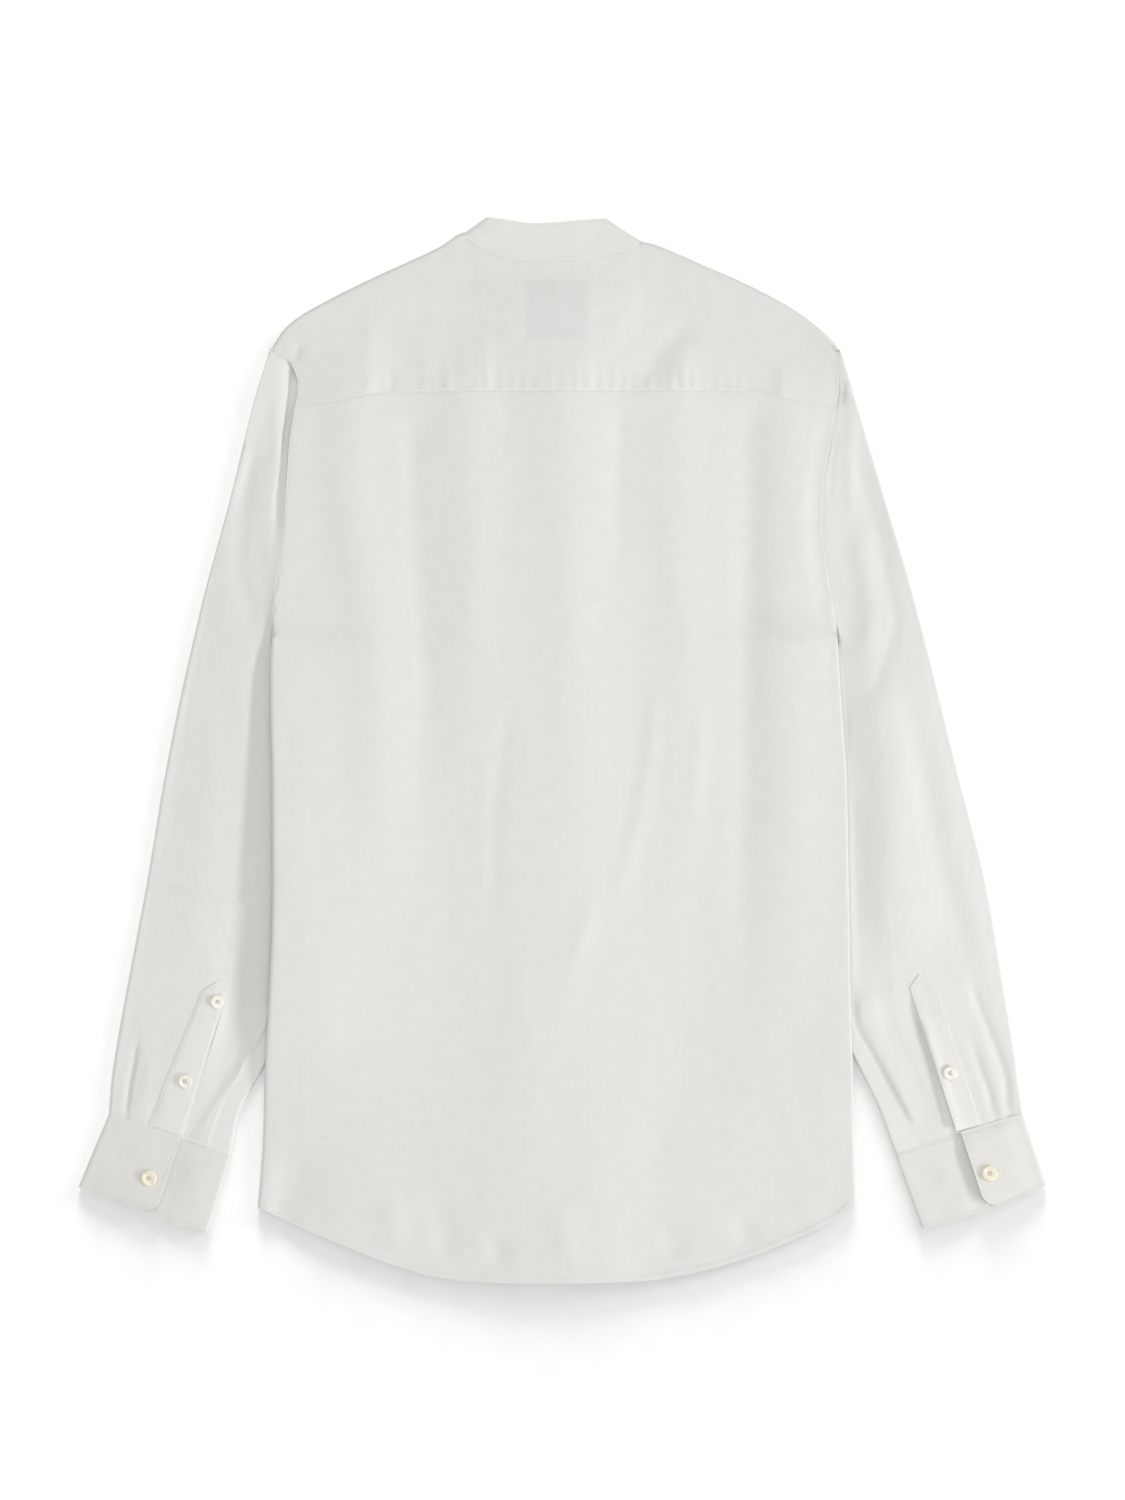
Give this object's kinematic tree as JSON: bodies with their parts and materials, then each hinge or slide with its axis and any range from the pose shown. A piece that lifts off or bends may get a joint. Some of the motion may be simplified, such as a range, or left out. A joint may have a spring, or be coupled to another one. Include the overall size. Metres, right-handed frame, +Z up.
{
  "type": "mandarin collar shirt",
  "caption": "Long-sleeved linen shirt with a band collar, curved hem, buttoned cuffs and buttoned sleeve plackets, laid flat on its front.",
  "frame": {"origin": "centre of the laid-out shirt's outline, on the surface that it lies on", "axes": "+Y from the hem to the collar, +X to the right seen from above, where the back is, +Z up from the surface"},
  "size_m": [0.735, 0.8091, 0.0099],
  "materials": {
    "linen": "matt",
    "label_cloth": "satin",
    "shell_button": "polished"
  },
  "bodies": {
    "root": {"back": "linen", "yoke": "linen", "front_left": "linen", "front_right": "linen", "front_placket": "linen", "collar_band": "linen", "sleeve_left": "linen", "sleeve_right": "linen", "sleeve_placket_left": "linen", "sleeve_placket_right": "linen", "cuff_left": "linen", "cuff_right": "linen", "neck_label": "label_cloth", "cuff_button_left": "shell_button", "cuff_button_right": "shell_button", "placket_button_left_1": "shell_button", "placket_button_left_2": "shell_button", "placket_button_right": "shell_button", "collar_button": "shell_button", "front_button_1": "shell_button", "front_button_2": "shell_button", "front_button_3": "shell_button", "front_button_4": "shell_button", "front_button_5": "shell_button", "front_button_6": "shell_button", "front_button_7": "shell_button"}
  },
  "joints": []
}
